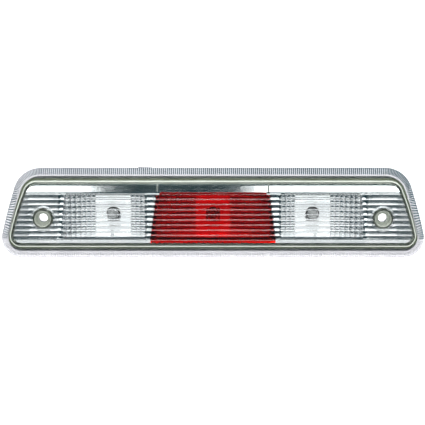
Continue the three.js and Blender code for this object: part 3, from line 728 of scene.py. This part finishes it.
def rear_housing():
    bm = bmesh.new()
    base_back = PLATE_BACK
    case = lambda inset: lamp_ring(RIM, inset)
    front = make_ring(bm, case(3.2), PLATE_FRONT)
    edge = chain(bm, front, case, [(2.9, PLATE_FRONT + 0.3), (2.9, base_back - 0.5),
                                   (3.05, base_back - 0.15), (3.4, base_back)])
    mouth = make_ring(bm, tray_ring(0.5), PLATE_FRONT)
    well = chain(bm, mouth, tray_ring, [(0.15, PLATE_FRONT + 0.15), (0, PLATE_FRONT + 0.5),
                                        (0, FLOOR_FRONT - 1.5), (-0.45, FLOOR_FRONT - 0.45),
                                        (-1.5, FLOOR_FRONT)])
    root = make_ring(bm, tray_ring(3.6), base_back)
    wall = TRAY["wall"]
    tail = chain(bm, root, tray_ring, [(wall + 0.4, base_back + 0.4), (wall, base_back + 1.4),
                                       (wall, FLOOR_BACK - 2), (wall - 0.2, FLOOR_BACK - 0.9),
                                       (wall - 0.8, FLOOR_BACK - 0.25), (wall - 1.8, FLOOR_BACK)])
    base_fronts, base_backs, floor_fronts, floor_backs = [front, mouth], [edge, root], [well], [tail]
    for at in LAMP.values():
        circle = lambda radius: circle_points(at.x, at.z, radius, 120)
        collar = make_ring(bm, circle(14), FLOOR_BACK)
        floor_backs.append(collar)
        ring = chain(bm, collar, circle, [(13.4, FLOOR_BACK + 0.25), (13.2, FLOOR_BACK + 0.8),
                                          (13.2, COLLAR_BACK - 0.7), (13, COLLAR_BACK - 0.2),
                                          (12.5, COLLAR_BACK)])
        ring = lip(bm, ring, key_hole(at), COLLAR_BACK)
        floor_fronts.append(lip(bm, ring, key_hole(at), FLOOR_FRONT))
    for at in VENT.values():
        circle = lambda radius: circle_points(at.x, at.z, radius)
        pipe = make_ring(bm, circle(3.7), FLOOR_BACK)
        floor_backs.append(pipe)
        pipe_line = [(3.2, FLOOR_BACK + 0.4), (3.2, VENT_BACK - 0.4), (2.9, VENT_BACK),
                     (1.9, VENT_BACK), (1.6, VENT_BACK - 0.3), (1.6, FLOOR_FRONT)]
        floor_fronts.append(chain(bm, pipe, circle, pipe_line))
    for at in WELL.values():
        circle = lambda radius: circle_points(at.x, at.z, radius)
        pad = make_ring(bm, circle(8.2), base_back)
        base_backs.append(pad)
        pad_line = [(7.55, base_back + 0.3), (7.4, base_back + 0.9), (7.4, -1.5), (6.9, -1),
                    (SCREW_HOLE + 0.4, -1), (SCREW_HOLE, -1.4), (SCREW_HOLE, PLATE_FRONT)]
        base_fronts.append(chain(bm, pad, circle, pad_line))
    for rings in (base_fronts, base_backs, floor_fronts, floor_backs):
        fill_between(bm, *rings)
    for x in (-120, -72, -24, 24, 72, 120):
        for z in (TRAY["high"] + wall + 0.55, TRAY["low"] - wall - 0.55):
            bar(bm, (1.6, 18.6, 2.1), (x, 4.7, z), 0.4)
    return finish("rear_housing", bm, GREY, ["housing"])


def breather_cap(side):
    at = VENT[side]
    bm = bmesh.new()
    foot, top, radius, bore = FLOOR_BACK + 0.3, 28.4, 4.6, 3.5
    line = [(0, top), (radius - 1.2, top), (radius - 0.45, top - 0.3), (radius - 0.1, top - 0.7),
            (radius, top - 1.2), (radius, foot + 0.4), (radius - 0.3, foot), (bore, foot), (bore, 27.3),
            (0, 27.3)]
    spun(bm, line)
    bmesh.ops.translate(bm, verts=bm.verts, vec=(at.x, 0, at.z))
    piece = finish(side + "_breather_cap", bm, RUBBER, [side + "_vent_cap"])
    cutter = bmesh.new()
    lie = Matrix.Translation((at.x, 28, at.z)) @ Matrix.Diagonal((1.6, 4, 12, 1))
    bmesh.ops.create_cube(cutter, size=1, matrix=lie)
    carve(piece, cutter)
    return piece


# ---- Foam -----------------------------------------------------------------------------------------
def foam_stations(near, far):
    """A cut foam strip's section, from its front round to its front again, as (place across, depth)."""
    front, back = PLATE_BACK + 0.3, 0.0
    middle = (near + far) / 2
    return [(near + 0.9, front), (near + 0.25, front + 0.3), (near, front + 1), (near, back - 1),
            (near + 0.25, back - 0.3), (near + 0.9, back), (middle, back), (far - 0.9, back),
            (far - 0.25, back - 0.3), (far, back - 1), (far, front + 1), (far - 0.25, front + 0.3),
            (far - 0.9, front), (middle, front), (near + 0.9, front)]


def foam_piece(name, bm, node, middle):
    """Swells the cut edges a little unevenly, and makes the foam piece."""
    for v in bm.verts:
        out = Vector((v.co.x, 0, v.co.z)) - middle(v.co)
        if out.length > 0.01:
            wave = noise.noise(Vector((v.co.x / 9, v.co.y / 5, v.co.z / 9)))
            v.co += out.normalized() * (0.28 * wave)
    bmesh.ops.remove_doubles(bm, verts=bm.verts, dist=1e-3)
    piece = finish(name, bm, FOAM, [node])
    return piece


def foam_gasket():
    bm = bmesh.new()
    stations = foam_stations(1.2, 9.8)
    line = lambda inset: lamp_ring(RIM, inset, True)
    ring = make_ring(bm, line(stations[0][0]), stations[0][1])
    chain(bm, ring, line, stations[1:])
    bmesh.ops.remove_doubles(bm, verts=bm.verts, dist=1e-3)
    for v in bm.verts:
        if v.co.z > 40.9 and abs(v.co.x) < 150:
            swell = 0.8 * max(0.0, noise.noise(Vector((v.co.x / 30, 3.7, 0))))
            swell += 1.1 * (-69.5 < v.co.x < -57)
            v.co.z = min(LENS_HIGH.z - 0.05, v.co.z + min(1.15, swell) * (v.co.y + 4) / 4)
    return foam_piece("foam_gasket", bm, "perimeter_gasket", lambda co: Vector((co.x, 0, 0)))


def foam_ring(side):
    at = WELL[side]
    bm = bmesh.new()
    stations = foam_stations(7.7, 11.4)
    circle = lambda radius: circle_points(at.x, at.z, radius, 72)
    ring = make_ring(bm, circle(stations[0][0]), stations[0][1])
    chain(bm, ring, circle, stations[1:])
    return foam_piece(side + "_foam_ring", bm, side + "_screw_hole_seal",
                      lambda co: Vector((at.x, 0, at.z)))


# ---- Sockets --------------------------------------------------------------------------------------
def slot_ring(grow):
    across, up = 6.5 + grow, 3.2 + grow
    corners = [(across, -up), (across, up), (-across, up), (-across, -up)]
    return rounded_ring(corners, [0.6] * 4, [4] * 4, [0] * 4)


def grip_ring(inset):
    """The finger grip, thickest round the wires."""
    end, narrow, thick = 11 - inset, 3.7 - inset, 5.8 - inset
    corners = [(end, -narrow), (end, narrow), (3.4, thick), (-3.4, thick), (-end, narrow), (-end, -narrow),
               (-3.4, -thick), (3.4, -thick)]
    return rounded_ring(corners, [1.3, 1.3, 4, 4, 1.3, 1.3, 4, 4], [5] * 8, [0] * 8)


def about_axis(radius, x=0.0):
    return circle_points(x, 0, radius)


def socket_body(lamp, at):
    bm = bmesh.new()
    face = make_ring(bm, about_axis(8.9), SOCKET_FACE)
    rim = chain(bm, face, about_axis, [(9.25, 17.35), (9.4, 17.7), (9.4, 28.3), (9.8, 28.7), (13.5, 28.7),
                                       (13.85, 28.85), (14, 29.2), (14, 30.5), (13.85, 30.85),
                                       (13.5, FLANGE_BACK)])
    slot = make_ring(bm, slot_ring(0.4), SOCKET_FACE)
    slot_floor = chain(bm, slot, slot_ring, [(0, 17.6), (0, SLOT_FLOOR)])
    grip = make_ring(bm, grip_ring(-0.7), FLANGE_BACK)
    grip_back = chain(bm, grip, grip_ring, [(-0.2, FLANGE_BACK + 0.3), (0, FLANGE_BACK + 0.9),
                                            (0.25, 36.9), (0.5, 37.6), (1.1, SOCKET_BACK)])
    recess = make_ring(bm, about_axis(4.2), SOCKET_BACK)
    recess_floor = chain(bm, recess, about_axis, [(3.9, SOCKET_BACK - 0.3), (3.9, RECESS_FLOOR)])
    passages = [make_ring(bm, about_axis(WIRE_RADIUS, x), SLOT_FLOOR) for x in WIRE_HOLES]
    ends = [lip(bm, ring, about_axis(WIRE_RADIUS, x), RECESS_FLOOR)
            for ring, x in zip(passages, WIRE_HOLES)]
    fill_between(bm, face, slot)
    fill_between(bm, slot_floor, *passages)
    fill_between(bm, recess_floor, *ends)
    fill_between(bm, rim, grip)
    fill_between(bm, grip_back, recess)
    for i in range(3):
        bar(bm, (3.4, 2.3, 3), (0, 18.35, 10.1), 0.35, math.radians(120 * i))
    for x in (-9.2, -7.4, -5.6, 5.6, 7.4, 9.2):
        for side in (-1, 1):
            bar(bm, (0.7, 4.6, 0.9), (x, 34.2, side * (5.7 - 0.19 * abs(x) - 0.15)), 0.2)
    bmesh.ops.translate(bm, verts=bm.verts, vec=(at.x, 0, at.z))
    finish(lamp + "_socket_body", bm, NYLON, [lamp + "_socket"],
           lamp + "_socket_assembly")


def socket_ring(lamp, at):
    bm = bmesh.new()
    lie = Matrix.Translation((11.4, 27.35, 0))
    made = bmesh.ops.create_circle(bm, cap_ends=False, radius=1.1, segments=20, matrix=lie)
    geom = made["verts"] + list(bm.edges)
    bmesh.ops.spin(bm, geom=geom, cent=(0, 0, 0), axis=(0, 1, 0), angle=2 * math.pi, steps=72,
                   use_merge=True, use_duplicate=False)
    bmesh.ops.translate(bm, verts=bm.verts, vec=(at.x, 0, at.z))
    finish(lamp + "_o_ring", bm, RUBBER, [lamp + "_socket_seal"],
           lamp + "_socket_assembly")


def wire_plug(lamp, at):
    bm = bmesh.new()
    front = make_ring(bm, about_axis(3.4), 34.8)
    back = chain(bm, front, about_axis, [(3.6, 35), (3.6, 35.5), (3.3, 35.8), (3.3, 36.1), (3.6, 36.4),
                                         (3.6, 38.1), (3.45, 38.6), (3.1, 38.8)])
    starts = [make_ring(bm, about_axis(WIRE_RADIUS, x), 34.8) for x in WIRE_HOLES]
    ends = []
    for ring, x in zip(starts, WIRE_HOLES):
        hole = lambda radius: about_axis(radius, x)
        ends.append(chain(bm, ring, hole, [(WIRE_RADIUS, 38.5), (1.15, 38.8)]))
    fill_between(bm, front, *starts)
    fill_between(bm, back, *ends)
    bmesh.ops.translate(bm, verts=bm.verts, vec=(at.x, 0, at.z))
    finish(lamp + "_wire_plug", bm, RUBBER, [lamp + "_wire_seal"],
           lamp + "_socket_assembly")


# ---- Carried-over pieces --------------------------------------------------------------------------
def refinish(node, material):
    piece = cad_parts[node]
    if not piece.material_slots:
        piece.data.materials.append(material)
    for held in piece.material_slots:
        held.material = material


clear_lens()
chrome_bezel()
red_filter()
reflector_bowl("brake_bowl", "brake_reflector", LAMP["brake"], -55.5, 55.5, 16.0, 0.9, 11, -4)
reflector_bowl("left_cargo_bowl", "left_cargo_reflector", LAMP["left_cargo"], -49, 33, 16.6, 0.35, 11, 5)
reflector_bowl("right_cargo_bowl", "right_cargo_reflector", LAMP["right_cargo"], -33, 49, 16.6, 0.35, 11, 5)
for lamp, at in LAMP.items():
    bulb_glass(lamp, at)
    socket_body(lamp, at)
    socket_ring(lamp, at)
    wire_plug(lamp, at)
    refinish(lamp + "_bulb_filament", TUNGSTEN)
    refinish(lamp + "_contact_a", BRASS)
    refinish(lamp + "_contact_b", BRASS)
rear_housing()
foam_gasket()
for side in ("left", "right"):
    foam_ring(side)
    breather_cap(side)


# ---- Studio ---------------------------------------------------------------------------------------
def studio_world():
    """White where it is seen directly.  The piece mirrors a bright room with a big light overhead, a dark
    teal band low in front and one dark teal panel above."""
    world = bpy.data.worlds.new("studio")
    scene.world = world
    world.use_nodes = True
    nodes, links = world.node_tree.nodes, world.node_tree.links
    nodes.clear()
    out = nodes.new("ShaderNodeOutputWorld")
    place = nodes.new("ShaderNodeTexCoord")
    split = nodes.new("ShaderNodeSeparateXYZ")
    links.new(place.outputs["Generated"], split.inputs["Vector"])

    def reckon(operation, first, second):
        node = nodes.new("ShaderNodeMath")
        node.operation = operation
        for socket, value in zip(node.inputs, (first, second)):
            if isinstance(value, (int, float)):
                socket.default_value = value
            else:
                links.new(value, socket)
        return node.outputs["Value"]

    def step(value, start, end):
        node = nodes.new("ShaderNodeMapRange")
        node.interpolation_type = "SMOOTHSTEP"
        node.inputs["From Min"].default_value = start
        node.inputs["From Max"].default_value = end
        links.new(value, node.inputs["Value"])
        return node.outputs["Result"]

    def blend(amount, under, over):
        node = nodes.new("ShaderNodeMix")
        node.data_type = "RGBA"
        links.new(amount, node.inputs["Factor"])
        low, high = [i for i in node.inputs if i.type == "RGBA"]
        for socket, value in ((low, under), (high, over)):
            if isinstance(value, tuple):
                socket.default_value = (*value, 1)
            else:
                links.new(value, socket)
        return [o for o in node.outputs if o.type == "RGBA"][0]

    height = split.outputs["Z"]
    ahead = reckon("MULTIPLY", split.outputs["Y"], -1.0)
    bearing = reckon("DIVIDE", split.outputs["X"], reckon("MAXIMUM", ahead, 0.001))
    in_front = step(ahead, 0.05, 0.25)
    room = blend(step(height, -0.60, -0.42), (2.3, 2.3, 2.32), (1.0, 1.0, 1.02))
    low_front = reckon("MULTIPLY", step(height, -0.55, -0.45),
                       reckon("SUBTRACT", 1.0, step(height, -0.06, 0.03)))
    room = blend(reckon("MULTIPLY", low_front, in_front), room, (0.022, 0.050, 0.060))
    room = blend(step(height, -0.02, 0.05), room, (1.7, 1.7, 1.7))
    room = blend(step(height, 0.20, 0.26), room, (1.15, 1.15, 1.17))
    behind = reckon("MULTIPLY", step(ahead, 0.05, -0.12), step(height, 0.05, 0.15))
    room = blend(step(height, 0.52, 0.62), room, (4.6, 4.6, 4.6))
    room = blend(behind, room, (0.07, 0.15, 0.17))
    panel = reckon("MULTIPLY", step(bearing, -0.104, -0.090),
                   reckon("SUBTRACT", 1.0, step(bearing, 0.030, 0.040)))
    panel = reckon("MULTIPLY", panel, reckon("MULTIPLY", step(height, 0.56, 0.60),
                                             reckon("SUBTRACT", 1.0, step(height, 0.84, 0.88))))
    room = blend(reckon("MULTIPLY", panel, step(ahead, 0.05, 0.10)), room, (0.012, 0.034, 0.042))
    seen = nodes.new("ShaderNodeBackground")
    seen.inputs["Color"].default_value = (1, 1, 1, 1)
    mirrored = nodes.new("ShaderNodeBackground")
    links.new(room, mirrored.inputs["Color"])
    path = nodes.new("ShaderNodeLightPath")
    mix = nodes.new("ShaderNodeMixShader")
    links.new(path.outputs["Is Camera Ray"], mix.inputs["Fac"])
    links.new(mirrored.outputs["Background"], mix.inputs[1])
    links.new(seen.outputs["Background"], mix.inputs[2])
    links.new(mix.outputs["Shader"], out.inputs["Surface"])


def floor():
    bm = bmesh.new()
    bmesh.ops.create_grid(bm, x_segments=1, y_segments=1, size=30)
    bmesh.ops.translate(bm, verts=bm.verts, vec=(0, 0, LENS_LOW.z * MM - 0.32))
    mesh = bpy.data.meshes.new("studio_floor")
    bm.to_mesh(mesh)
    bm.free()
    pale = bpy.data.materials.new("pale_floor")
    pale.use_nodes = True
    shader = pale.node_tree.nodes["Principled BSDF"]
    shader.inputs["Base Color"].default_value = (0.9, 0.9, 0.9, 1)
    shader.inputs["Roughness"].default_value = 0.9
    shader.inputs["Emission Color"].default_value = (1, 1, 1, 1)
    shader.inputs["Emission Strength"].default_value = 0.6
    mesh.materials.append(pale)
    ground = bpy.data.objects.new("studio_floor", mesh)
    scene.collection.objects.link(ground)
    ground.visible_glossy = False
    ground.visible_transmission = False


def soft_light(name, place, aim, size, power):
    data = bpy.data.lights.new(name, "AREA")
    data.shape = "RECTANGLE"
    data.size, data.size_y = size
    data.energy = power
    light = bpy.data.objects.new(name, data)
    light.location = place
    light.rotation_mode = "QUATERNION"
    light.rotation_quaternion = (Vector(aim) - Vector(place)).to_track_quat("-Z", "Y")
    scene.collection.objects.link(light)


def camera():
    lift = math.radians(8.5)
    aim = Vector((-0.0004, -0.0045, -0.0001))
    data = bpy.data.cameras.new("camera")
    data.lens = 146
    data.sensor_width = 36
    view = bpy.data.objects.new("camera", data)
    view.location = aim + Vector((0, -math.cos(lift), math.sin(lift))) * 1.596
    view.rotation_euler = (math.pi / 2 - lift, 0, 0)
    scene.collection.objects.link(view)
    scene.camera = view


studio_world()
floor()
soft_light("overhead", (0, -0.5, 1.3), (0, 0, 0), (1.4, 0.9), 9)
soft_light("rear", (0.5, 1.2, 0.7), (0, 0, 0), (1.2, 0.8), 9)
camera()
scene.view_settings.view_transform = "Standard"
scene.cycles.transmission_bounces = 28
scene.cycles.glossy_bounces = 12
scene.cycles.max_bounces = 32
scene.cycles.transparent_max_bounces = 16
